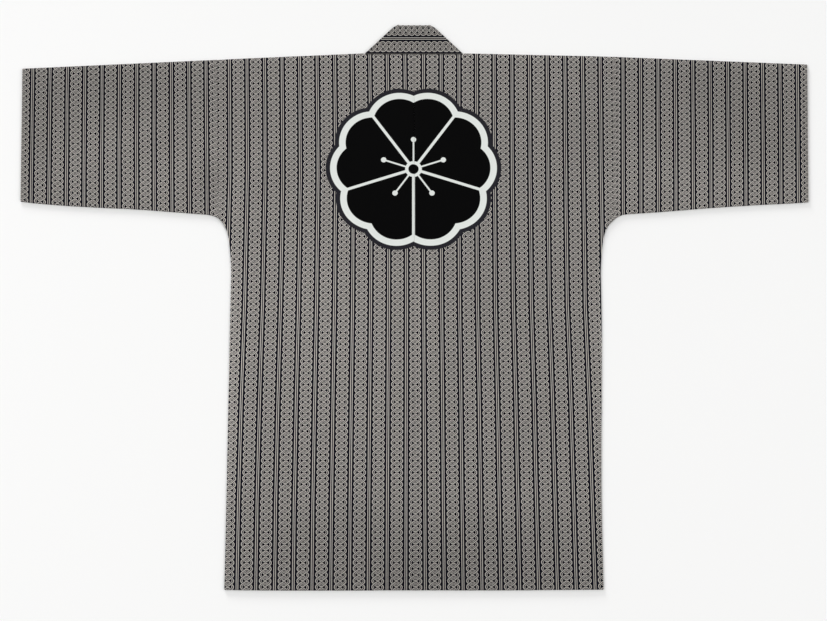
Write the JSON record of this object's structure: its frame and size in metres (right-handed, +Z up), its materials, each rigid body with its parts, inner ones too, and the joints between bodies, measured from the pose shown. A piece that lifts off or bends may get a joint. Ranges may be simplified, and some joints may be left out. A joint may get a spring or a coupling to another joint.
{
  "type": "happi coat",
  "caption": "Happi coat laid flat with its back up: straight body, wide tapering sleeves and a collar band, in indigo cotton with columns of linked chain between thin stripes.",
  "frame": {"origin": "centre of the bounding box's base, on the surface that the coat lies on", "axes": "+Y from the hem to the collar, +X towards the wearer's right, +Z up, out of the coat's back"},
  "size_m": [1.2432, 0.9042, 0.0053],
  "materials": {
    "printed_cotton": "matt cotton, off-white chain columns and thin stripes on an indigo ground",
    "collar_cotton": "the same cotton, doubled, with the stripes along the band"
  },
  "bodies": {
    "root": {"body_left": "printed_cotton", "body_right": "printed_cotton", "sleeve_left": "printed_cotton", "sleeve_right": "printed_cotton", "collar": "collar_cotton"}
  },
  "joints": []
}
